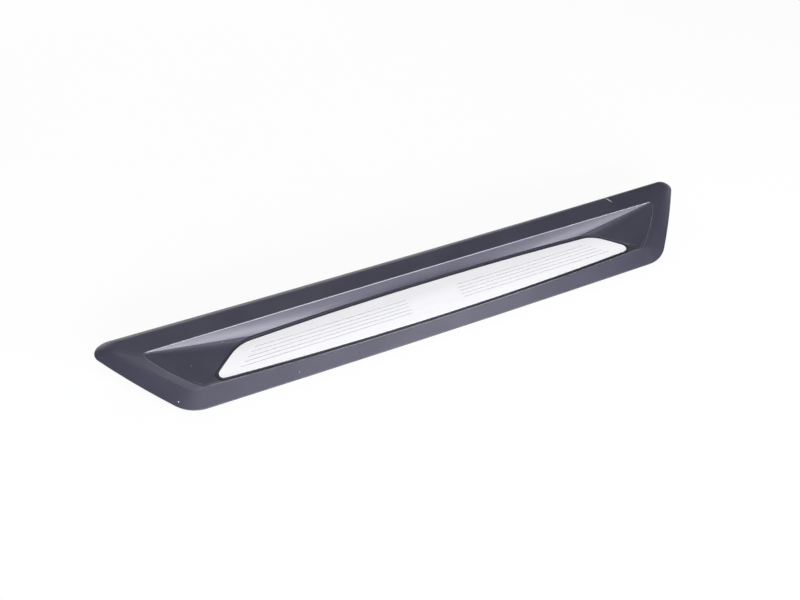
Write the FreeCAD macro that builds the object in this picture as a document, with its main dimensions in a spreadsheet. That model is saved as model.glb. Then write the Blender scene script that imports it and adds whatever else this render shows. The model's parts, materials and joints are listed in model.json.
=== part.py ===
import FreeCAD, Part
import math
import os
from collections import namedtuple

import Sketcher
from FreeCAD import Placement, Rotation, Vector

# Car door sill plate: a moulded panel with a sunk recess, a bright insert plate bonded into it,
# and push-in clips under its crest. Lengths are in millimetres, angles in degrees.
# The panel is drawn in its own frame: X along its length, Y from the front edge to the crest,
# Z up from the plane of its bottom edge. The finished pieces are then tilted about X, because
# the panel lies on its front edge and on the tips of its clips.

SIZES = {
    # Outline of the bottom edge. The half width is taken on the front line and grows to the back.
    "panel_half": 190.5,
    "panel_flare": 0.811,
    "panel_depth": 70.6,
    "panel_front_bulge": 1.0,
    "panel_back_bulge": -1.3,
    "panel_end_bulge": 1.6,
    "panel_front_corner": 27.0,
    "panel_back_corner": 7.0,
    "edge_land": 1.0,
    # Rim: the highest line of the panel, round the mouth of the recess.
    "rim_side_margin": 23.6,
    "rim_flare": 0.873,
    "rim_front": 12.5,
    "rim_back_margin": 19.4,
    "rim_front_bulge": 4.9,
    "rim_back_bulge": 0.4,
    "rim_end_bulge": 2.0,
    "rim_front_corner": 8.0,
    "rim_back_corner": 4.5,
    "rim_front_height": 6.6,
    "rim_back_height": 8.1,
    "rim_land": 0.7,
    # Lip: a small bevel at the recess's mouth. It starts this far inside the rim, and it reaches
    # down this share of the recess's wall.
    "lip_land": 0.35,
    "lip_share": 0.09,
    # Crest: the rounded back edge, and the shoulder that runs beside the rim on the end wings.
    "crest_radius": 6.0,
    "shoulder_width": 7.0,
    # On the front the shoulder lies at this share of the way up from the bottom edge to the rim.
    "front_reach": 0.94,
    # Insert plate, in its own plane, which falls towards the back.
    "insert_end_lead": 19.9,
    "insert_flare": -1.0,
    "insert_front": 16.3,
    "insert_back_margin": 11.0,
    "insert_front_bulge": 5.1,
    "insert_back_bulge": 3.8,
    "insert_end_bulge": 0.5,
    "insert_front_corner": 4.0,
    "insert_back_corner": 24.0,
    "insert_height": 8.0,
    "insert_tilt": -10.8,
    "insert_thick": 0.8,
    "insert_bevel": 0.2,
    "film_thick": 0.25,
    "film_inset": 1.0,
    # Seat of the insert: the gap beside the plate, a low bead and the channel outside the bead.
    "seat_gap": 0.5,
    "bead_width": 0.8,
    "bead_drop": 0.3,
    "channel_width": 0.8,
    "channel_depth": 0.6,
    "ledge_width": 0.2,
    "ledge_back": 1.6,
    "recess_spill": 0.15,
    # Engraved lines on each half of the plate.
    "line_count": 5,
    "line_pitch": 3.3,
    "line_width": 0.45,
    "line_depth": 0.12,
    "line_first": 20.6,
    "line_inner": 21.0,
    "line_end_margin": 36.8,
    # Walls and ribs of the moulding. The tub round the recess stands outside the rim by a share
    # of the wall, so that its top stays within the skin.
    "wall": 2.2,
    "tub_share": 0.8,
    "rib_thick": 1.4,
    "rib_pitch": 40.0,
    "rib_count": 5,
    "rib_rise": 0.4,
    # Clip towers: slotted boxes under the crest that hold the heads of the clips.
    "clip_row_margin": 10.6,
    "clip_inner": 40.0,
    "clip_outer": 160.0,
    "tower_long": 18.0,
    "tower_wide": 13.6,
    "tower_wall": 1.6,
    "tower_drop": 3.0,
    "tower_top": 5.6,
    # Clips, with a square head and neck, a round collar and two crossed fins with barbs. The head
    # and the neck are given by half their width.
    "clip_play": 0.15,
    "clip_head": 4.6,
    "clip_head_thick": 1.6,
    "clip_neck": 2.9,
    "clip_collar": 6.2,
    "clip_collar_thick": 1.2,
    "clip_shank": 2.7,
    "clip_core": 2.0,
    "clip_barb": 3.9,
    "clip_barbs": 3,
    "clip_fin": 1.6,
    "clip_tip": 1.5,
    "clip_reach": 13.8,
    "washer_out": 7.4,
    "washer_thick": 2.0,
    # Locating pins moulded on the panel, each on a wider block.
    "pin_place": 120.0,
    "pin_radius": 3.0,
    "pin_boss": 5.0,
    "pin_boss_drop": 2.0,
    "pin_drop": 9.0,
    "pin_chamfer": 0.8,
    # Foam pads on the underside of the recess floor.
    "pad_count": 3,
    "pad_pitch": 100.0,
    "pad_long": 36.0,
    "pad_wide": 12.0,
    "pad_thick": 3.0,
    "pad_middle": 29.0,
}

# Lines that follow another piece at a margin.
DERIVED = {
    "rim_half": "=panel_half - rim_side_margin",
    "rim_back": "=panel_depth - rim_back_margin",
    "insert_half": "=rim_half + insert_end_lead",
    "insert_back": "=rim_back - insert_back_margin",
    "line_outer": "=insert_half - line_end_margin",
    "clip_row": "=panel_depth - clip_row_margin",
}

doc = FreeCAD.newDocument("sill_plate")
sheet = doc.addObject("Spreadsheet::Sheet", "Sizes")
for row, (alias, value) in enumerate([*SIZES.items(), *DERIVED.items()], start=1):
    sheet.set(f"A{row}", alias)
    sheet.set(f"B{row}", str(value))
    sheet.setAlias(f"B{row}", alias)
doc.recompute()


def size(alias):
    """The value of one cell of the sheet."""
    return float(getattr(sheet, alias))


# An outline seen from above: front and back are its Y lines, half is half its width on Y = 0,
# flare is how much that half width grows for each millimetre back. A bulge is the height of
# an edge's arc, positive outwards.
Outline = namedtuple(
    "Outline", "half flare front back front_bulge back_bulge end_bulge front_corner back_corner")


def sheet_outline(prefix, **values):
    """The outline whose cells start with one word, with any given values in their place."""
    return Outline(**{field: values[field] if field in values else size(f"{prefix}_{field}")
                      for field in Outline._fields})


def grown(outline, gap, back_gap=None):
    """The outline moved outwards by a gap, which may differ at the back."""
    back_gap = gap if back_gap is None else back_gap
    return outline._replace(
        half=outline.half + gap * math.hypot(1, outline.flare),
        front=outline.front - gap, back=outline.back + back_gap,
        front_corner=outline.front_corner + gap, back_corner=outline.back_corner + gap)


def blended(low, high, share):
    """The outline between two outlines."""
    return Outline(*(a + (b - a) * share for a, b in zip(low, high)))


class Edge:
    """An arc edge of an outline, from its two sharp corners and its bulge."""

    def __init__(self, start, end, bulge):
        chord = end - start
        outward = Vector(chord.y, -chord.x, 0).normalize()
        reach = (chord.Length ** 2 / 4 + bulge ** 2) / (2 * abs(bulge))
        self.convex = 1 if bulge > 0 else -1
        self.radius = reach
        self.centre = (start + end) / 2 + outward * (bulge - self.convex * reach)

    def depth(self, point):
        """How far a point lies inside the edge, and the direction in which that grows."""
        ray = point - self.centre
        return self.convex * (self.radius - ray.Length), ray / ray.Length * -self.convex

    def nearest(self, point):
        """The point of the edge nearest to a point."""
        ray = point - self.centre
        return self.centre + ray / ray.Length * self.radius

    def arc(self, start, end):
        """The arc between two of the edge's points."""
        return Part.Arc(start, self.nearest((start + end) / 2), end)


def corner_centre(edge, other, radius, sharp):
    """The centre of the round that touches two edges, found by Newton's method from their corner."""
    centre = sharp
    for _ in range(12):
        miss, way = edge.depth(centre)
        other_miss, other_way = other.depth(centre)
        miss, other_miss = radius - miss, radius - other_miss
        area = way.x * other_way.y - way.y * other_way.x
        centre = centre + Vector((miss * other_way.y - other_miss * way.y) / area,
                                 (other_miss * way.x - miss * other_way.x) / area, 0)
    return centre


def outline_curves(outline, stretch=1.0):
    """The eight arcs of an outline, each with whether it bows inwards. Y is stretched for a
    sketch plane that slopes."""
    front, back = outline.front * stretch, outline.back * stretch
    front_half = outline.half + outline.flare * outline.front
    back_half = outline.half + outline.flare * outline.back
    corners = [Vector(-front_half, front, 0), Vector(front_half, front, 0),
               Vector(back_half, back, 0), Vector(-back_half, back, 0)]
    bulges = [outline.front_bulge, outline.end_bulge, outline.back_bulge, outline.end_bulge]
    radii = [outline.front_corner, outline.front_corner, outline.back_corner, outline.back_corner]
    edges = [Edge(corners[k], corners[(k + 1) % 4], bulges[k]) for k in range(4)]
    rounds = []
    for k in range(4):
        before, after = edges[k - 1], edges[k]
        centre = corner_centre(before, after, radii[k], corners[k])
        start, end = before.nearest(centre), after.nearest(centre)
        toward = corners[k] - centre
        middle = centre + toward / toward.Length * radii[k]
        rounds.append((start, middle, end))
    curves = []
    for k in range(4):
        curves.append((Part.Arc(*rounds[k]), False))
        curves.append((edges[k].arc(rounds[k][2], rounds[(k + 1) % 4][0]), edges[k].convex < 0))
    return curves


def plane(body, role):
    """One of the body's own origin planes."""
    return next(feature for feature in body.Origin.OriginFeatures if feature.Role == role)


def new_sketch(body, name, role="XY_Plane"):
    """An empty sketch on one of the body's origin planes."""
    sketch = body.newObject("Sketcher::SketchObject", name)
    sketch.AttachmentSupport = [(plane(body, role), "")]
    sketch.MapMode = "FlatFace"
    return sketch


def outline_sketch(body, name, outline, height=0.0, tilt=0.0, stretched=True):
    """A sketch of an outline on a plane that slopes about X and passes at a height over Y = 0."""
    sketch = new_sketch(body, name)
    sketch.AttachmentOffset = Placement(Vector(0, 0, height), Rotation(Vector(1, 0, 0), tilt))
    stretch = 1 / math.cos(math.radians(tilt)) if stretched else 1.0
    add_outline(sketch, outline, stretch)
    return sketch


def add_outline(sketch, outline, stretch=1.0):
    """The closed chain of an outline's arcs. A sketch keeps every arc anticlockwise, so the two
    ends of an edge that bows inwards change places there."""
    first = sketch.GeometryCount
    curves = outline_curves(outline, stretch)
    for curve, _ in curves:
        sketch.addGeometry(curve, False)
    ends = [(2, 1) if inward else (1, 2) for _, inward in curves]
    for k in range(8):
        after = (k + 1) % 8
        sketch.addConstraint(Sketcher.Constraint(
            "Coincident", first + k, ends[k][1], first + after, ends[after][0]))


def level_sketch(body, name, outline, front_height, back_height):
    """An outline on the plane through two heights, one at its front and one at its back."""
    slope = (back_height - front_height) / (outline.back - outline.front)
    return outline_sketch(body, name, outline, front_height - slope * outline.front,
                          math.degrees(math.atan(slope)))


def insert_sketch(body, name, outline, drop):
    """An outline in the insert's plane, lowered by a drop along that plane's normal."""
    tilt = math.radians(size("insert_tilt"))
    return outline_sketch(body, name, outline, size("insert_height") - drop / math.cos(tilt),
                          size("insert_tilt"), stretched=False)


def loft(body, name, sketches, kind="PartDesign::AdditiveLoft", ruled=False):
    """A loft through closed sketches, smooth or with straight rulings."""
    feature = body.newObject(kind, name)
    feature.Profile = sketches[0]
    feature.Sections = sketches[1:]
    feature.Ruled = ruled
    doc.recompute()
    return feature


def extrude(body, name, sketch, length, kind="PartDesign::Pad", reverse=False):
    """A pad or pocket whose length is an expression on the sheet."""
    feature = body.newObject(kind, name)
    feature.Profile = sketch
    feature.setExpression("Length", length)
    feature.Reversed = reverse
    doc.recompute()
    return feature


def level_lofts(body, name, inset, steps, kind="PartDesign::AdditiveLoft", ruled=False):
    """The panel's upper form: a loft up the crest's arc and the wings to the shoulder, smooth or
    straight between its levels, and a straight one from the shoulder to the rim."""
    sketches = [level_sketch(body, f"{name}_level_{k}", *level)
                for k, level in enumerate(panel_levels(inset, steps))]
    loft(body, f"{name}_sides", sketches[:-1], kind, ruled)
    loft(body, f"{name}_band", sketches[-2:], kind, ruled=True)


def add_box(sketch, x_low, y_low, x_high, y_high):
    """A closed rectangle in a sketch."""
    corners = [Vector(x_low, y_low, 0), Vector(x_high, y_low, 0),
               Vector(x_high, y_high, 0), Vector(x_low, y_high, 0)]
    first = sketch.GeometryCount
    for k in range(4):
        sketch.addGeometry(Part.LineSegment(corners[k], corners[(k + 1) % 4]), False)
    for k in range(4):
        sketch.addConstraint(
            Sketcher.Constraint("Coincident", first + k, 2, first + (k + 1) % 4, 1))


panel = sheet_outline("panel", front=0.0, back=size("panel_depth"))
rim = sheet_outline("rim")
insert = sheet_outline("insert")
seat = grown(insert, size("seat_gap"))
bead = grown(seat, size("bead_width"))
channel_rim = grown(bead, size("channel_width"))
foot = grown(channel_rim, size("ledge_width"), size("ledge_back"))
mouth = grown(rim, -size("rim_land"))
seat_depth = size("insert_thick") + size("film_thick")


def panel_levels(inset, steps):
    """Closed levels from the bottom edge up to the shoulder, in equal steps, and then the rim: on
    the front they climb a straight face, on the ends the wings, and at the back the arc of the
    crest. Inset gives the inner side."""
    land = size("edge_land")
    crest_line = size("panel_depth") - size("crest_radius")
    crest = size("crest_radius") - inset
    shoulder = (size("rim_half") + size("shoulder_width") - size("panel_half")) \
        / (size("rim_half") - size("panel_half"))
    levels = []
    for step in range(steps + 1):
        front_share = size("front_reach") * step / steps
        front_level = blended(panel, rim, front_share)
        end_level = blended(panel, rim, shoulder * step / steps)
        turn = math.pi / 2 * (1 - step / steps)
        level = end_level._replace(
            front=front_level.front, front_bulge=front_level.front_bulge,
            back_bulge=panel.back_bulge, back=crest_line + crest * math.sin(turn),
            half=end_level.half - inset)
        front_height = land + (size("rim_front_height") - land) * front_share
        back_height = land + size("crest_radius") * math.cos(turn)
        levels.append((level, front_height - inset, back_height - inset))
    levels.append((rim, size("rim_front_height") - inset, size("rim_back_height") - inset))
    return levels


def make_form():
    """The moulding before its recess is cut: the skin, hollow from below, and the tub's walls."""
    body = doc.addObject("PartDesign::Body", "panel_form")
    level_lofts(body, "outer", 0.0, 3)
    base = outline_sketch(body, "base_outline", panel, size("edge_land"))
    extrude(body, "land", base, "Sizes.edge_land", reverse=True)
    level_lofts(body, "inner", size("wall"), 2, "PartDesign::SubtractiveLoft", ruled=True)
    top = level_sketch(body, "tub_top", grown(rim, size("wall") * size("tub_share")),
                       size("rim_front_height") - size("wall") / 2,
                       size("rim_back_height") - size("wall") / 2)
    bottom = insert_sketch(body, "tub_bottom", grown(foot, size("wall")),
                           seat_depth + size("wall"))
    loft(body, "tub", [top, bottom], ruled=True)
    return body


def make_ribs():
    """Cross ribs that reach halfway into the skin, as thin boxes kept inside its middle surface."""
    body = doc.addObject("PartDesign::Body", "rib_space")
    level_lofts(body, "middle", size("wall") / 2, 2, ruled=True)
    half_rib = size("rib_thick") / 2
    boxes = []
    for k in range(int(size("rib_count"))):
        for side in (-1, 1):
            place = side * (k + 0.5) * size("rib_pitch")
            boxes.append(add_primitive(
                "Part::Box", f"rib_{len(boxes) + 1}", Length="Sizes.rib_thick",
                Width="Sizes.panel_depth", Height="2 * Sizes.rim_back_height",
                Placement_Base_x=f"{place - half_rib:g}", Placement_Base_z="Sizes.rib_rise"))
    blades = doc.addObject("Part::Compound", "blades")
    blades.Links = boxes
    ribs = doc.addObject("Part::Common", "ribs")
    ribs.Base = body
    ribs.Tool = blades
    return ribs


def make_recess_tool():
    """What is cut from above: the recess down to its foot, the bevelled lip at its mouth, the
    channel and the insert's seat. Its walls run on a little past the rim, so that the cut is
    clean there."""
    body = doc.addObject("PartDesign::Body", "recess_tool")
    spill = size("recess_spill")
    lip = size("lip_share")
    fall = math.tan(math.radians(size("insert_tilt")))
    foot_heights = [size("insert_height") - size("bead_drop") + fall * line
                    for line in (foot.front, foot.back)]
    rim_heights = [size("rim_front_height"), size("rim_back_height")]

    def wall_heights(share):
        """The front and back heights at a share of the way down the wall from rim to foot."""
        return [high + (low - high) * share for high, low in zip(rim_heights, foot_heights)]

    above = level_sketch(
        body, "above_mouth", blended(foot, mouth, 1 + spill), *wall_heights(-spill))
    below = insert_sketch(body, "recess_foot", foot, size("bead_drop"))
    loft(body, "recess", [above, below], ruled=True)
    lip_top, lip_low = grown(rim, -size("lip_land")), blended(mouth, foot, lip)
    lip_levels = [
        level_sketch(body, name, blended(lip_top, lip_low, share), *wall_heights(lip * share))
        for name, share in (("lip_above", -spill), ("lip_below", 1 + spill))]
    loft(body, "lip", lip_levels, ruled=True)
    channel = insert_sketch(body, "channel_outline", channel_rim, size("bead_drop"))
    add_outline(channel, bead)
    extrude(body, "channel", channel, "Sizes.channel_depth", reverse=True)
    pocket = insert_sketch(body, "seat_outline", seat, size("bead_drop"))
    extrude(body, "insert_seat", pocket,
            "Sizes.insert_thick + Sizes.film_thick - Sizes.bead_drop", reverse=True)
    return body


def profile_sketch(body, name, role, points):
    """A sketch of a closed polygon on one of the body's origin planes."""
    sketch = new_sketch(body, name, role)
    count = len(points)
    for k in range(count):
        start, end = points[k], points[(k + 1) % count]
        sketch.addGeometry(Part.LineSegment(Vector(*start, 0), Vector(*end, 0)), False)
    for k in range(count):
        sketch.addConstraint(Sketcher.Constraint("Coincident", k, 2, (k + 1) % count, 1))
    return sketch


def add_primitive(kind, name, **expressions):
    """A Part primitive whose sizes and place are expressions on the sheet."""
    thing = doc.addObject(kind, name)
    for path, expression in expressions.items():
        thing.setExpression(path.replace("_", "."), expression)
    return thing


def make_tower(name, place):
    """One clip tower: a box under the crest, hollow for the clip's head, with a floor slotted
    from its outer end so that the clip slides in along the panel."""
    side = 1 if place > 0 else -1
    middle = f"{place:g}"
    box = add_primitive(
        "Part::Box", f"{name}_box", Length="Sizes.tower_long", Width="Sizes.tower_wide",
        Height="Sizes.tower_drop + Sizes.tower_top",
        Placement_Base_x=f"{middle} - Sizes.tower_long / 2",
        Placement_Base_y="Sizes.clip_row - Sizes.tower_wide / 2",
        Placement_Base_z="-Sizes.tower_drop")
    # The room for the head runs out through the outer end of the box.
    room = add_primitive(
        "Part::Box", f"{name}_room", Length="Sizes.tower_long",
        Width="Sizes.tower_wide - 2 * Sizes.tower_wall",
        Height="Sizes.clip_head_thick + 2 * Sizes.clip_play",
        Placement_Base_x=f"{middle} - Sizes.tower_long / 2 + {side} * Sizes.tower_wall",
        Placement_Base_y="Sizes.clip_row - Sizes.tower_wide / 2 + Sizes.tower_wall",
        Placement_Base_z="Sizes.tower_wall - Sizes.tower_drop")
    slot_end = "-Sizes.clip_neck - Sizes.clip_play"
    if side < 0:
        slot_end = "Sizes.clip_neck + Sizes.clip_play - Sizes.tower_long"
    slot = add_primitive(
        "Part::Box", f"{name}_slot", Length="Sizes.tower_long",
        Width="2 * (Sizes.clip_neck + Sizes.clip_play)", Height="2 * Sizes.tower_wall",
        Placement_Base_x=f"{middle} + {slot_end}",
        Placement_Base_y="Sizes.clip_row - Sizes.clip_neck - Sizes.clip_play",
        Placement_Base_z="-Sizes.tower_drop - Sizes.clip_play")
    tools = doc.addObject("Part::MultiFuse", f"{name}_tools")
    tools.Shapes = [room, slot]
    return box, tools


def make_pin(name, place):
    """One round locating pin with a chamfered tip, on a square block under the panel's skin."""
    boss = add_primitive(
        "Part::Box", f"{name}_boss", Length="2 * Sizes.pin_boss", Width="2 * Sizes.pin_boss",
        Height="Sizes.pin_boss_drop + Sizes.tower_top",
        Placement_Base_x=f"{place:g} - Sizes.pin_boss",
        Placement_Base_y="Sizes.clip_row - Sizes.pin_boss",
        Placement_Base_z="-Sizes.pin_boss_drop")
    shaft = add_primitive(
        "Part::Cylinder", f"{name}_shaft", Radius="Sizes.pin_radius",
        Height="Sizes.pin_drop - Sizes.pin_chamfer",
        Placement_Base_x=f"{place:g}", Placement_Base_y="Sizes.clip_row",
        Placement_Base_z="Sizes.pin_chamfer - Sizes.pin_drop")
    tip = add_primitive(
        "Part::Cone", f"{name}_tip", Radius1="Sizes.pin_radius - Sizes.pin_chamfer",
        Radius2="Sizes.pin_radius", Height="Sizes.pin_chamfer",
        Placement_Base_x=f"{place:g}", Placement_Base_y="Sizes.clip_row",
        Placement_Base_z="-Sizes.pin_drop")
    return [boss, shaft, tip]


def make_insert():
    """The bright plate: a sheet blank with a bevelled edge and engraved lines, five to each half,
    whose outer ends step back beside the slanted ends of the plate."""
    body = doc.addObject("PartDesign::Body", "insert_plate")
    blank = insert_sketch(body, "blank", insert, 0.0)
    plate = extrude(body, "sheet", blank, "Sizes.insert_thick", reverse=True)
    fall = math.tan(math.radians(size("insert_tilt")))
    near = size("insert_bevel") / 2
    tops = [f"Edge{k}" for k, edge in enumerate(plate.Shape.Edges, start=1)
            if all(abs(size("insert_height") + fall * vertex.Y - vertex.Z) < near
                   for vertex in edge.Vertexes)]
    bevel = body.newObject("PartDesign::Chamfer", "bevel")
    bevel.Base = (plate, tops)
    bevel.setExpression("Size", "Sizes.insert_bevel")
    doc.recompute()
    lines = insert_sketch(body, "lines", insert, 0.0)
    lines.deleteAllGeometry()
    half_line = size("line_width") / 2
    for k in range(int(size("line_count"))):
        level = size("line_first") + k * size("line_pitch")
        reach = size("line_outer") - k * size("line_pitch")
        add_box(lines, size("line_inner"), level - half_line, reach, level + half_line)
        add_box(lines, -reach, level - half_line, -size("line_inner"), level + half_line)
    extrude(body, "engraving", lines, "Sizes.line_depth", "PartDesign::Pocket")
    return body


def make_film():
    """The double-sided film between the plate and the floor of its seat."""
    body = doc.addObject("PartDesign::Body", "adhesive_film")
    sketch = insert_sketch(body, "film_outline", grown(insert, -size("film_inset")),
                           size("insert_thick"))
    extrude(body, "film", sketch, "Sizes.film_thick", reverse=True)
    return body


def clip_levels():
    """Heights of the clip's collar, from the underside of the tower floor down."""
    top = -size("tower_drop") - size("clip_play")
    return top, top - size("clip_collar_thick"), \
        top - size("clip_collar_thick") - size("washer_thick")


def fin_points():
    """The saw-toothed outline of a clip's fin, from inside its shank down to the blunt tip. The
    upper face of a barb takes a third of its height, and half a barb is left for the tip."""
    washer_low = clip_levels()[2]
    tip = -size("clip_reach")
    core, barb = size("clip_core"), size("clip_barb")
    barbs = int(size("clip_barbs"))
    step = (washer_low - tip) / (barbs + 1 / 2)
    right = [(core, washer_low + size("washer_thick") / 2)]
    for k in range(barbs):
        top = washer_low - k * step
        right += [(core, top), (barb, top - step / 3)]
    right.append((size("clip_tip"), tip))
    return right + [(-x, z) for x, z in reversed(right)]


def square_block(body, name, low, half, length):
    """A square block from a height upwards, given by half its width."""
    sketch = new_sketch(body, f"{name}_outline")
    sketch.AttachmentOffset = Placement(Vector(0, 0, low), Rotation())
    add_box(sketch, -half, -half, half, half)
    extrude(body, name, sketch, length)


def make_clip(name):
    """One push-in clip: a square head and neck that can't turn in the tower, a turned collar and
    shank, and two crossed fins whose barbs spring past the edge of the hole."""
    body = doc.addObject("PartDesign::Body", name)
    collar_top, collar_low, washer_low = clip_levels()
    head_low = size("tower_wall") - size("tower_drop") + size("clip_play")
    shank = size("clip_shank")
    points = [(0, collar_top), (size("clip_collar"), collar_top),
              (size("clip_collar"), collar_low), (shank, collar_low), (shank, washer_low),
              (0, washer_low)]
    profile = profile_sketch(body, f"{name}_profile", "XZ_Plane", points)
    turned = body.newObject("PartDesign::Revolution", f"{name}_turned")
    turned.Profile = profile
    turned.ReferenceAxis = (profile, ["V_Axis"])
    turned.Angle = 360
    doc.recompute()
    square_block(body, f"{name}_neck", collar_low, size("clip_neck"),
                 "Sizes.clip_collar_thick + 2 * Sizes.clip_play + Sizes.tower_wall")
    square_block(body, f"{name}_head", head_low, size("clip_head"), "Sizes.clip_head_thick")
    for role, label in (("XZ_Plane", "along"), ("YZ_Plane", "across")):
        fin = profile_sketch(body, f"{name}_{label}", role, fin_points())
        fin.setExpression("AttachmentOffset.Base.z", "-Sizes.clip_fin / 2")
        extrude(body, f"{name}_fin_{label}", fin, "Sizes.clip_fin")
    return body


def make_washer(name):
    """One soft sealing washer under a clip's collar."""
    body = doc.addObject("PartDesign::Body", name)
    sketch = new_sketch(body, f"{name}_rings")
    for alias in ("washer_out", "clip_shank"):
        ring = sketch.addGeometry(Part.Circle(Vector(), Vector(0, 0, 1), size(alias)), False)
        sketch.addConstraint(Sketcher.Constraint("Coincident", ring, 3, -1, 1))
        bound = sketch.addConstraint(Sketcher.Constraint("Radius", ring, size(alias)))
        extra = " + Sizes.clip_play" if alias == "clip_shank" else ""
        sketch.setExpression(f"Constraints[{bound}]", f"Sizes.{alias}{extra}")
    sketch.AttachmentOffset = Placement(Vector(0, 0, clip_levels()[1]), Rotation())
    extrude(body, f"{name}_disc", sketch, "Sizes.washer_thick", reverse=True)
    return body


def make_pad(name, place):
    """One foam pad bonded to the flat underside of the recess floor."""
    body = doc.addObject("PartDesign::Body", name)
    drop = seat_depth + size("wall")
    sketch = new_sketch(body, f"{name}_outline")
    tilt = math.radians(size("insert_tilt"))
    sketch.AttachmentOffset = Placement(
        Vector(0, 0, size("insert_height") - drop / math.cos(tilt)),
        Rotation(Vector(1, 0, 0), size("insert_tilt")))
    half_long, half_wide = size("pad_long") / 2, size("pad_wide") / 2
    add_box(sketch, place - half_long, size("pad_middle") - half_wide,
            place + half_long, size("pad_middle") + half_wide)
    extrude(body, f"{name}_foam", sketch, "Sizes.pad_thick", reverse=True)
    return body


def lay_down(thing):
    """Tilt a finished piece about X as the panel lies, with the middle of its box at the origin."""
    thing.Placement = Placement(Vector(), Rotation(Vector(1, 0, 0), 1))
    turn = "atan(Sizes.clip_reach / (Sizes.clip_row - Sizes.clip_tip + Sizes.panel_front_bulge))"
    thing.setExpression("Placement.Rotation.Angle", turn)
    thing.setExpression(
        "Placement.Base.y",
        f"(Sizes.panel_front_bulge * cos({turn}) + Sizes.edge_land * sin({turn})"
        f" - Sizes.panel_depth * cos({turn})) / 2")
    thing.setExpression("Placement.Base.z", f"Sizes.panel_front_bulge * sin({turn})")


clip_places = [side * size(alias) for side in (-1, 1) for alias in ("clip_inner", "clip_outer")]
towers = [make_tower(f"tower_{k}", place) for k, place in enumerate(clip_places, start=1)]
pins = [piece for k, side in enumerate((-1, 1), start=1)
        for piece in make_pin(f"pin_{k}", side * size("pin_place"))]
blank = doc.addObject("Part::MultiFuse", "moulding_blank")
blank.Shapes = [make_form(), make_ribs()] + [box for box, _ in towers] + pins
cuts = doc.addObject("Part::Compound", "moulding_cuts")
cuts.Links = [make_recess_tool()] + [tools for _, tools in towers]
moulding = doc.addObject("Part::Cut", "sill_moulding")
moulding.Base = blank
moulding.Tool = cuts

insert_plate = make_insert()
adhesive_film = make_film()
clips = [make_clip(f"clip_{k}") for k in range(1, len(clip_places) + 1)]
washers = [make_washer(f"washer_{k}") for k in range(1, len(clip_places) + 1)]
pads = [make_pad(f"pad_{k + 1}", (k - (size("pad_count") - 1) / 2) * size("pad_pitch"))
        for k in range(int(size("pad_count")))]
for group in (clips, washers):
    for piece, place in zip(group, clip_places):
        piece.Placement = Placement(Vector(place, size("clip_row"), 0), Rotation())
groups = {}
for name, members in (("retaining_clips", clips), ("clip_washers", washers), ("foam_pads", pads)):
    groups[name] = doc.addObject("Part::Compound", name)
    groups[name].Links = members

nodes = {"sill_moulding": moulding, "insert_plate": insert_plate, "adhesive_film": adhesive_film,
         **groups}
for name, thing in nodes.items():
    thing.Label = name
    lay_down(thing)
doc.recompute()

for thing in doc.Objects:
    if "Invalid" in thing.State or "Error" in thing.State:
        raise RuntimeError(f"{thing.Name} did not build: {thing.State}")
for name, thing in nodes.items():
    if thing.Shape.isNull() or not thing.Shape.isValid():
        raise RuntimeError(f"{name} is not a valid shape")

os.makedirs("parts", exist_ok=True)
for name, thing in nodes.items():
    thing.Shape.exportStep(os.path.join("parts", f"{name}.step"))
    print(name, len(thing.Shape.Solids), "solids", round(thing.Shape.Volume), "mm3")
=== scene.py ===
"""Dresses the door sill plate: finishes, studio, camera. Lengths are in metres."""

import json
import logging
import math
from dataclasses import dataclass
from enum import Enum
from typing import Any, Mapping

import bpy
from mathutils import Matrix, Vector

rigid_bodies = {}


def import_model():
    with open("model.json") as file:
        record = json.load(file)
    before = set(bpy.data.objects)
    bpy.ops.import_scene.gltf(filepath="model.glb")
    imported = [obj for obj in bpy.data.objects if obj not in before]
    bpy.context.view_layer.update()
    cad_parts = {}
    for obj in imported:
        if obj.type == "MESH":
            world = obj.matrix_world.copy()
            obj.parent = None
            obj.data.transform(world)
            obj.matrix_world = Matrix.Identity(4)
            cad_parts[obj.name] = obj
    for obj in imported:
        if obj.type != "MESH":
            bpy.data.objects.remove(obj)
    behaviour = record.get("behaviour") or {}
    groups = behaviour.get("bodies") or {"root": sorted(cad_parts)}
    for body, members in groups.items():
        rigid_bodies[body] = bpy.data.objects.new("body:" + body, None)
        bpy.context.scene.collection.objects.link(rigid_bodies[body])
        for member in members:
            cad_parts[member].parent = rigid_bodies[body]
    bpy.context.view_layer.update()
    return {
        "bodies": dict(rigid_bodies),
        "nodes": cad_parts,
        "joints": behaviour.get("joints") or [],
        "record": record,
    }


LOG = logging.getLogger("sill_plate")
IMAGE_WIDTH = 800
SENSOR_WIDTH = 36.0

Colour = tuple[float, float, float, float]
Point = tuple[float, float, float]
Pair = tuple[float, float]


class Finish(Enum):
    """The record's material slots."""

    MOULDING = "moulding"
    INSERT = "insert"
    FILM = "film"
    CLIPS = "clips"
    WASHERS = "washers"
    PADS = "pads"


def colour(red: float, green: float, blue: float) -> Colour:
    """A shader colour from its three linear parts."""
    return (red, green, blue, 1.0)


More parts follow.
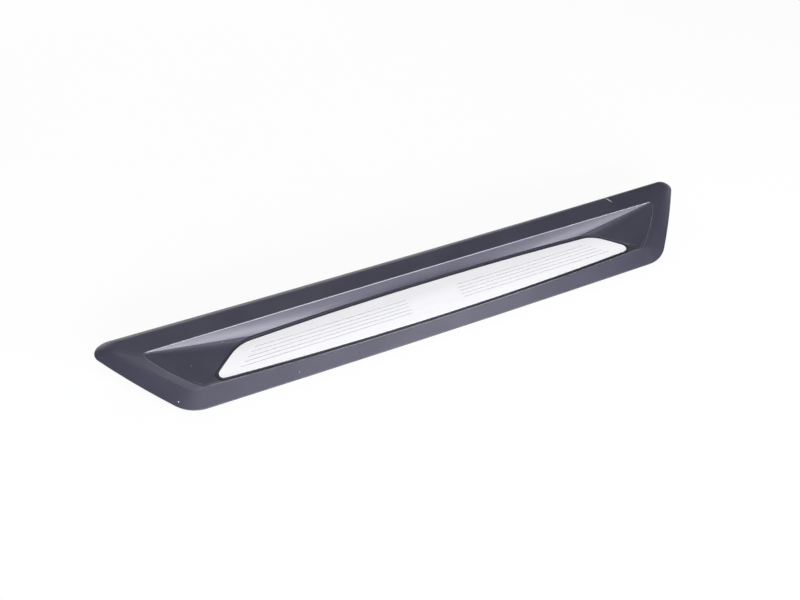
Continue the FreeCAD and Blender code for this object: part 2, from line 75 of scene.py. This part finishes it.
class Tree:
    """The node tree of a material or a world, with a single way to add any node."""

    def __init__(self, owner: Any, output: str) -> None:
        """Empty the owner's node tree.

        Args:
            owner: the material or the world.
            output: its output node's type name, without the ShaderNode prefix.
        """
        owner.use_nodes = True
        self.owner = owner
        self.output = output
        self.nodes = owner.node_tree.nodes
        self.links = owner.node_tree.links
        self.nodes.clear()

    def node(self, kind: str, settings: Mapping[str, Any] | None = None,
             sockets: Mapping[Any, Any] | None = None) -> Any:
        """Add one node.

        Args:
            kind: the node's type name, without its ShaderNode prefix.
            settings: the node's own properties, set before its sockets.
            sockets: values or wrapped sockets by input name or number.

        Returns:
            The new node.
        """
        made = self.nodes.new("ShaderNode" + kind)
        for key, value in (settings or {}).items():
            setattr(made, key, value)
        for key, value in (sockets or {}).items():
            self.feed(made.inputs[key], value)
        return made

    def feed(self, socket: Any, value: Any) -> None:
        """Put a value or a wrapped socket into an input.

        Args:
            socket: the input socket.
            value: what it gets, as a link if it is a wrapped socket.
        """
        if isinstance(value, Signal):
            self.links.new(value.socket, socket)
        else:
            socket.default_value = value

    def signal(self, node: Any, output: Any = 0) -> "Signal":
        """Wrap one of a node's outputs."""
        return Signal(self, node.outputs[output])

    def blend(self, share: "Signal", first: Any, second: Any) -> Any:
        """A shader node between two shader nodes by a share."""
        return self.node("MixShader", None, {0: share, 1: self.signal(first),
                                             2: self.signal(second)})

    def finish(self, shader: Any) -> Any:
        """Send a shader node to the owner's surface and return the owner."""
        self.node(self.output, None, {"Surface": self.signal(shader)})
        return self.owner


class Signal:
    """A node's output. On an output that holds a number, Python's operators add Math nodes."""

    MIDDLE = 0.5

    def __init__(self, tree: Tree, socket: Any) -> None:
        """Wrap a node's output socket.

        Args:
            tree: the tree that the socket is in.
            socket: the output socket.
        """
        self.tree = tree
        self.socket = socket

    def _math(self, operation: str, first: Any, second: Any, clamp: bool = False) -> "Signal":
        """Add one Math node.

        Args:
            operation: what the node does.
            first: its first signal or number.
            second: its second signal or number.
            clamp: whether the result is held between 0 and 1.

        Returns:
            The result.
        """
        made = self.tree.node("Math", {"operation": operation, "use_clamp": clamp},
                              {0: first, 1: second})
        return self.tree.signal(made)

    def __add__(self, other: Any) -> "Signal":
        """This signal plus another or a number."""
        return self._math("ADD", self, other)

    __radd__ = __add__

    def __sub__(self, other: Any) -> "Signal":
        """This signal minus another or a number."""
        return self._math("SUBTRACT", self, other)

    def __rsub__(self, other: Any) -> "Signal":
        """Another signal or a number minus this signal."""
        return self._math("SUBTRACT", other, self)

    def __mul__(self, other: Any) -> "Signal":
        """This signal times another or a number."""
        return self._math("MULTIPLY", self, other)

    __rmul__ = __mul__

    def clamped(self) -> "Signal":
        """This signal held between 0 and 1."""
        return self._math("ADD", self, 0.0, clamp=True)

    def swing(self, size: float) -> "Signal":
        """This signal, taken about its middle value, times a size."""
        return (self - self.MIDDLE) * size

    def between(self, low: float, high: float) -> "Signal":
        """A smooth share of how far this signal is from low to high.

        Args:
            low: where the share is 0.
            high: where it is 1.

        Returns:
            The share.
        """
        made = self.tree.node("MapRange", {"interpolation_type": "SMOOTHSTEP"},
                              {"Value": self, "From Min": low, "From Max": high})
        return self.tree.signal(made)


@dataclass(frozen=True)
class Grain:
    """A smooth noise: its features per metre, its finer layers and how strong they are."""

    scale: float
    detail: float = 2.0
    rough: float = 0.5


@dataclass(frozen=True)
class Mark:
    """A small pale mark: its middle, its half length and half width, and the way it runs."""

    middle: Point
    half_long: float
    half_wide: float
    turn: float = 0.0
    depth: float = 0.002


@dataclass(frozen=True)
class FacePlane:
    """A plane of the plate, by a point and its outward normal."""

    point: Vector
    normal: Vector

    @classmethod
    def top_of(cls, node: Any) -> "FacePlane":
        """The plane of a packed plate's top: of its largest level faces, the highest.

        Args:
            node: the plate's object.

        Returns:
            Its plane.
        """
        level_enough, large_share = 0.95, 0.25
        upward = [face for face in node.data.polygons if face.normal.z > level_enough]
        count = math.ceil(len(upward) * large_share)
        large = sorted(upward, key=lambda face: face.area)[-count:]
        top = max(large, key=lambda face: face.center.dot(face.normal))
        return cls(top.center.copy(), top.normal.copy())

    @classmethod
    def through(cls, front: Pair, back: Pair) -> "FacePlane":
        """The plane that runs level along the plate.

        Args:
            front: Y and Z of its front line.
            back: Y and Z of its back line.

        Returns:
            The plane.
        """
        rise = Vector((0.0, back[0] - front[0], back[1] - front[1]))
        return cls(Vector((0.0, *front)), Vector((1.0, 0.0, 0.0)).cross(rise).normalized())


class Surface(Tree):
    """A material's tree, with the patterns that this object's finishes share."""

    MARK_FADE = (0.6, 1.0)
    SAMPLES = 8

    def __init__(self, name: str) -> None:
        """Start a material with the object's own coordinates at hand.

        Args:
            name: the material's name.
        """
        super().__init__(bpy.data.materials.new(name), "OutputMaterial")
        self.place = self.signal(self.node("TexCoord"), "Object")

    def stretched(self, scale: Point) -> Signal:
        """The object's coordinates, scaled."""
        return self.signal(self.node("Mapping", None, {"Vector": self.place, "Scale": scale}))

    def noise(self, grain: Grain, place: Signal | None = None) -> Signal:
        """Smooth noise over the surface, about 0.5.

        Args:
            grain: its size and layers.
            place: coordinates, if not the object's own.

        Returns:
            The noise value.
        """
        made = self.node("TexNoise", None, {
            "Vector": place or self.place, "Scale": grain.scale, "Detail": grain.detail,
            "Roughness": grain.rough})
        return self.signal(made)

    def tint(self, share: Signal, low: Any, high: Any) -> Signal:
        """A colour between two.

        Args:
            share: 0 for the first colour, 1 for the second.
            low: the first colour, or a signal that holds one.
            high: the second.

        Returns:
            The colour.
        """
        made = self.node("Mix", {"data_type": "RGBA", "clamp_factor": True},
                         {0: share, 6: low, 7: high})
        return self.signal(made, 2)

    def spot(self, mark: Mark) -> Signal:
        """A small long mark on the surface.

        Args:
            mark: its place and size.

        Returns:
            1 inside it, falling to 0 at its edge.
        """
        made = self.node("Mapping", {"vector_type": "TEXTURE"}, {
            "Vector": self.place, "Location": mark.middle,
            "Rotation": (0.0, 0.0, math.radians(mark.turn)),
            "Scale": (mark.half_long, mark.half_wide, mark.depth)})
        away = self.node("VectorMath", {"operation": "LENGTH"}, {0: self.signal(made)})
        return 1.0 - self.signal(away, "Value").between(*self.MARK_FADE)

    def depth_below(self, face: FacePlane) -> Signal:
        """How far the surface lies below a plane.

        Args:
            face: the plane.

        Returns:
            The depth in metres.
        """
        offset = self.node("VectorMath", {"operation": "SUBTRACT"},
                           {0: face.point, 1: self.place})
        made = self.node("VectorMath", {"operation": "DOT_PRODUCT"},
                         {0: self.signal(offset), 1: face.normal})
        return self.signal(made, "Value")

    def rounded(self, radius: float) -> Signal:
        """The normal of the surface with its sharp edges shaded as small rounds."""
        return self.signal(self.node("Bevel", {"samples": self.SAMPLES}, {"Radius": radius}))

    def edges(self, reach: float) -> Signal:
        """How close an outward edge is: 0 on an open face, up to a half on a square edge.

        Args:
            reach: metres from the edge at which the signal has faded out.

        Returns:
            The share of the solid behind the surface that is cut off within the reach.
        """
        made = self.node("AmbientOcclusion",
                         {"inside": True, "only_local": True, "samples": self.SAMPLES},
                         {"Distance": reach})
        return 1.0 - self.signal(made, "AO")

    def bump(self, height: Signal, strength: float, distance: float,
             under: Signal | None = None) -> Signal:
        """A bumped normal from a height.

        Args:
            height: the height signal.
            strength: share of the bump that is used.
            distance: metres for a height of 1.
            under: a normal to bump further.

        Returns:
            The normal.
        """
        sockets = {"Height": height, "Strength": strength, "Distance": distance}
        if under is not None:
            sockets["Normal"] = under
        return self.signal(self.node("Bump", None, sockets))


@dataclass(frozen=True)
class GrainedPlastic:
    """Matt black moulding with a fine spark-eroded grain, a painted highlight along the recess's
    rim, specks of dust and a short scratch."""

    marks: tuple[Mark, ...]
    dark: Colour = colour(0.0250, 0.0235, 0.0400)
    pale: Colour = colour(0.0315, 0.0300, 0.0490)
    grain: Grain = Grain(2600.0, 3.0, 0.6)
    grain_depth: float = 0.00004
    grain_strength: float = 0.5
    grain_shine: float = 0.12
    patch: Grain = Grain(22.0, 3.0, 0.55)
    patch_band: Pair = (0.3, 0.7)
    patch_shine: float = 0.10
    roughness: float = 0.40
    specular: float = 0.8
    specular_tint: Colour = colour(0.90, 0.89, 1.0)
    edge_round: float = 0.0006
    # The rim's painted highlight: outward edges near the rim plane get a paler colour and less
    # roughness, in place of light caught by a rounded lip.
    rim_reach: float = 0.0006
    rim_band: Pair = (0.02, 0.14)
    rim_fade: Pair = (0.00025, 0.000375)
    rim_highlight_colour: Colour = colour(0.30, 0.30, 0.34)
    rim_highlight_gloss: float = 0.12
    dust: Colour = colour(0.48, 0.48, 0.50)

    def build(self, rim: FacePlane) -> Any:
        """Build the material.

        Args:
            rim: the plane of the recess's rim, near whose edges a highlight is painted in a paler
                colour.

        Returns:
            The Blender material.
        """
        tree = Surface("grained_plastic")
        grain, patch = tree.noise(self.grain), tree.noise(self.patch)
        # Painted highlight: outward edges close to the rim plane are tinted paler and made
        # glossier.
        high = 1.0 - tree.depth_below(rim).between(*self.rim_fade)
        rim_highlight_share = tree.edges(self.rim_reach).between(*self.rim_band) * high
        plain = tree.tint(patch.between(*self.patch_band), self.dark, self.pale)
        plain = tree.tint(rim_highlight_share, plain, self.rim_highlight_colour)
        marked = sum((tree.spot(mark) for mark in self.marks), start=0.0)
        shine = patch.swing(self.patch_shine) + grain.swing(self.grain_shine)
        shader = tree.node("BsdfPrincipled", None, {
            "Base Color": tree.tint(marked.clamped(), plain, self.dust),
            "Roughness": self.roughness + shine - rim_highlight_share * self.rim_highlight_gloss,
            "Normal": tree.bump(grain, self.grain_strength, self.grain_depth,
                                tree.rounded(self.edge_round)),
            "Specular IOR Level": self.specular,
            "Specular Tint": self.specular_tint,
        })
        return tree.finish(shader)


@dataclass(frozen=True)
class BrushedPlate:
    """Pale brushed aluminium, brushed along the plate and lacquered, with lines cut into its top
    whose grooves are darkened by painted shade.
    """

    low: Colour = colour(0.90, 0.90, 0.92)
    high: Colour = colour(0.96, 0.96, 0.98)
    # Painted shade: the colour laid in the grooves of the cut lines.
    groove_shade: Colour = colour(0.40, 0.40, 0.45)
    groove: Pair = (0.00003, 0.0001)
    streak: Grain = Grain(1500.0, 4.0, 0.7)
    streak_stretch: Point = (0.02, 1.0, 1.0)
    streak_band: Pair = (0.25, 0.75)
    streak_strength: float = 0.25
    streak_depth: float = 0.00002
    streak_shine: float = 0.25
    cloud: Grain = Grain(14.0)
    cloud_shine: float = 0.08
    roughness: float = 0.34
    metallic: float = 0.10

    def build(self, face: FacePlane) -> Any:
        """Build the material.

        Args:
            face: the plane of the plate's top, below which the cut lines lie.

        Returns:
            The Blender material.
        """
        tree = Surface("brushed_plate")
        streaks = tree.noise(self.streak, tree.stretched(self.streak_stretch))
        cloud = tree.noise(self.cloud)
        plain = tree.tint(streaks.between(*self.streak_band), self.low, self.high)
        # Painted shade: surfaces just below the top plane, in the grooves, are tinted darker.
        lines = tree.depth_below(face).between(*self.groove)
        shine = streaks.swing(self.streak_shine) + cloud.swing(self.cloud_shine)
        shader = tree.node("BsdfPrincipled", None, {
            "Base Color": tree.tint(lines, plain, self.groove_shade),
            "Metallic": self.metallic,
            "Roughness": self.roughness + shine,
            "Normal": tree.bump(streaks, self.streak_strength, self.streak_depth),
        })
        return tree.finish(shader)


@dataclass(frozen=True)
class PlainFoam:
    """Cellular foam or film, dark and matt."""

    name: str
    dark: Colour
    pale: Colour
    cell_scale: float = 1400.0
    cell_depth: float = 0.0002
    cell_band: Pair = (0.1, 0.8)
    cell_strength: float = 0.8
    cell_shine: float = 0.1
    roughness: float = 0.85

    def build(self) -> Any:
        """Build the material.

        Returns:
            The Blender material.
        """
        tree = Surface(self.name)
        cells = tree.signal(tree.node("TexVoronoi", None, {
            "Vector": tree.place, "Scale": self.cell_scale}))
        shader = tree.node("BsdfPrincipled", None, {
            "Base Color": tree.tint(cells.between(*self.cell_band), self.dark, self.pale),
            "Roughness": self.roughness + cells.swing(self.cell_shine),
            "Normal": tree.bump(cells, self.cell_strength, self.cell_depth),
        })
        return tree.finish(shader)


@dataclass(frozen=True)
class Nylon:
    """Natural nylon of the push-in clips: waxy, off-white, faintly mottled."""

    dark: Colour = colour(0.52, 0.50, 0.43)
    pale: Colour = colour(0.62, 0.60, 0.53)
    mottle: Grain = Grain(160.0, 3.0)
    mottle_band: Pair = (0.35, 0.65)
    mottle_strength: float = 0.15
    mottle_depth: float = 0.0001
    mottle_shine: float = 0.2
    roughness: float = 0.36

    def build(self) -> Any:
        """Build the material.

        Returns:
            The Blender material.
        """
        tree = Surface("nylon")
        mottle = tree.noise(self.mottle)
        shader = tree.node("BsdfPrincipled", None, {
            "Base Color": tree.tint(mottle.between(*self.mottle_band), self.dark, self.pale),
            "Roughness": self.roughness + mottle.swing(self.mottle_shine),
            "Normal": tree.bump(mottle, self.mottle_strength, self.mottle_depth),
        })
        return tree.finish(shader)


@dataclass
class SillPlate:
    """The plate itself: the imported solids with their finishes.

    The rim lines are Y and Z of the recess's rim as the plate lies. The marks are three specks of
    dust and a scratch.
    """

    frame: dict
    rim_front: Pair = (-0.02310, 0.00948)
    rim_back: Pair = (0.01426, 0.01968)
    marks: tuple[Mark, ...] = (
        Mark((-0.1958, -0.0245, 0.0047), 0.0005, 0.0005),
        Mark((-0.1138, -0.0313, 0.0040), 0.0003, 0.0003),
        Mark((-0.1817, -0.0040, 0.0123), 0.0003, 0.0003),
        Mark((0.1754, 0.0285, 0.0208), 0.0056, 0.0005, -68.0, 0.004),
    )
    film: PlainFoam = PlainFoam("film", colour(0.02, 0.02, 0.02), colour(0.04, 0.04, 0.04))
    washers: PlainFoam = PlainFoam(
        "washer_foam", colour(0.015, 0.015, 0.017), colour(0.05, 0.05, 0.055))
    pads: PlainFoam = PlainFoam(
        "pad_foam", colour(0.02, 0.02, 0.022), colour(0.07, 0.07, 0.075),
        cell_scale=900.0, cell_depth=0.0004)

    def finishes(self) -> dict[Finish, Any]:
        """Build a material for each of the record's slots.

        Returns:
            The materials by slot.
        """
        nodes = self.frame["nodes"]
        return {
            Finish.MOULDING: GrainedPlastic(self.marks).build(
                FacePlane.through(self.rim_front, self.rim_back)),
            Finish.INSERT: BrushedPlate().build(FacePlane.top_of(nodes["insert_plate"])),
            Finish.FILM: self.film.build(),
            Finish.CLIPS: Nylon().build(),
            Finish.WASHERS: self.washers.build(),
            Finish.PADS: self.pads.build(),
        }

    def dress(self) -> None:
        """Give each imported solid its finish."""
        finishes = self.finishes()
        slots = {part["node"]: part["material_slot"] for part in self.frame["record"]["subparts"]}
        for name, node in self.frame["nodes"].items():
            finish = finishes[Finish(slots[name])]
            node.data.materials.clear()
            node.data.materials.append(finish)
            LOG.info("%s wears %s", name, finish.name)


@dataclass(frozen=True)
class SoftBox:
    """One soft rectangular lamp, placed by its bearing from the plate, in degrees."""

    name: str
    bearing: float
    elevation: float
    reach: float
    width: float
    height: float
    radiance: float

    def hang(self) -> None:
        """Add the lamp, facing the plate."""
        data = bpy.data.lights.new(self.name, "AREA")
        data.shape = "RECTANGLE"
        data.size, data.size_y = self.width, self.height
        data.energy = self.radiance * math.pi * self.width * self.height
        turn, rise = math.radians(self.bearing), math.radians(self.elevation)
        away = Vector((math.sin(turn) * math.cos(rise), math.cos(turn) * math.cos(rise),
                       math.sin(rise)))
        lamp = bpy.data.objects.new(self.name, data)
        lamp.location = away * self.reach
        lamp.rotation_euler = (-away).to_track_quat("-Z", "Y").to_euler()
        bpy.context.scene.collection.objects.link(lamp)


@dataclass
class Studio:
    """White floor, soft lamps and an even fill."""

    floor_reach: float = 4.0
    floor_lift: float = 0.9
    floor_shade: Grain = Grain(3.0)
    floor_paint: tuple[Colour, Colour] = (colour(0.93, 0.93, 0.94), colour(0.95, 0.95, 0.955))
    floor_glow: tuple[Colour, Colour] = (colour(0.99, 0.99, 1.0), colour(1.0, 1.0, 1.0))
    fill: float = 0.16
    fill_colour: Colour = colour(0.95, 0.96, 1.0)
    white: Colour = colour(1.0, 1.0, 1.0)
    boxes: tuple[SoftBox, ...] = (
        SoftBox("front_low", 188.0, 12.0, 1.3, 1.4, 0.5, 13.0),
        SoftBox("right_low", 146.0, 10.0, 1.3, 0.7, 0.5, 8.0),
        SoftBox("front_high", 184.0, 54.0, 1.5, 1.8, 0.6, 1.1),
        SoftBox("top", 180.0, 83.0, 1.5, 1.6, 0.2, 7.5),
        SoftBox("back", -8.0, 22.0, 1.6, 2.4, 0.9, 2.6),
    )

    def build_floor(self) -> None:
        """Lay the white floor. The camera sees it partly as a glow, so that it stays white where
        no shadow falls."""
        mesh = bpy.data.meshes.new("floor")
        reach = self.floor_reach
        mesh.from_pydata([(-reach, -reach, 0), (reach, -reach, 0), (reach, reach, 0),
                          (-reach, reach, 0)], [], [(0, 1, 2, 3)])
        floor = bpy.data.objects.new("floor", mesh)
        bpy.context.scene.collection.objects.link(floor)
        tree = Surface("floor_white")
        shade = tree.noise(self.floor_shade)
        paint = tree.node("BsdfDiffuse", None, {"Color": tree.tint(shade, *self.floor_paint)})
        glow = tree.node("Emission", None, {"Color": tree.tint(shade, *self.floor_glow)})
        seen = tree.signal(tree.node("LightPath"), "Is Camera Ray") * self.floor_lift
        mesh.materials.append(tree.finish(tree.blend(seen, paint, glow)))

    def build_world(self) -> None:
        """Light the scene evenly and show white behind it."""
        world = bpy.data.worlds.new("studio")
        bpy.context.scene.world = world
        tree = Tree(world, "OutputWorld")
        fill = tree.node("Background", None, {"Color": self.fill_colour, "Strength": self.fill})
        white = tree.node("Background", None, {"Color": self.white})
        seen = tree.signal(tree.node("LightPath"), "Is Camera Ray")
        tree.finish(tree.blend(seen, fill, white))

    def build(self) -> None:
        """Build the floor, the world and the lamps."""
        self.build_floor()
        self.build_world()
        for box in self.boxes:
            box.hang()


@dataclass
class Viewpoint:
    """The camera, as fitted to the photograph's outline of the plate, with angles in degrees."""

    place: Point = (-0.163466, -0.329308, 0.393697)
    azimuth: float = 22.805
    elevation: float = 47.10
    focal_pixels: float = 700.0
    clip_start: float = 0.01

    def build(self) -> None:
        """Set the camera up."""
        data = bpy.data.cameras.new("camera")
        data.lens = self.focal_pixels / IMAGE_WIDTH * SENSOR_WIDTH
        data.sensor_width = SENSOR_WIDTH
        data.clip_start = self.clip_start
        camera = bpy.data.objects.new("camera", data)
        turn, fall = math.radians(self.azimuth), math.radians(self.elevation)
        ahead = Vector((math.sin(turn) * math.cos(fall), math.cos(turn) * math.cos(fall),
                        -math.sin(fall)))
        across = Vector((math.cos(turn), -math.sin(turn), 0.0))
        up = across.cross(ahead)
        camera.matrix_world = Matrix.Translation(self.place) @ Matrix(
            (across, up, -ahead)).transposed().to_4x4()
        bpy.context.scene.collection.objects.link(camera)
        bpy.context.scene.camera = camera


def main() -> None:
    """Load the frame, dress the plate and set up the studio."""
    logging.basicConfig(level=logging.INFO, format="%(message)s")
    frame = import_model()
    Viewpoint().build()
    SillPlate(frame).dress()
    Studio().build()
    bpy.context.scene.view_settings.view_transform = "Standard"


if __name__ == "__main__":
    main()
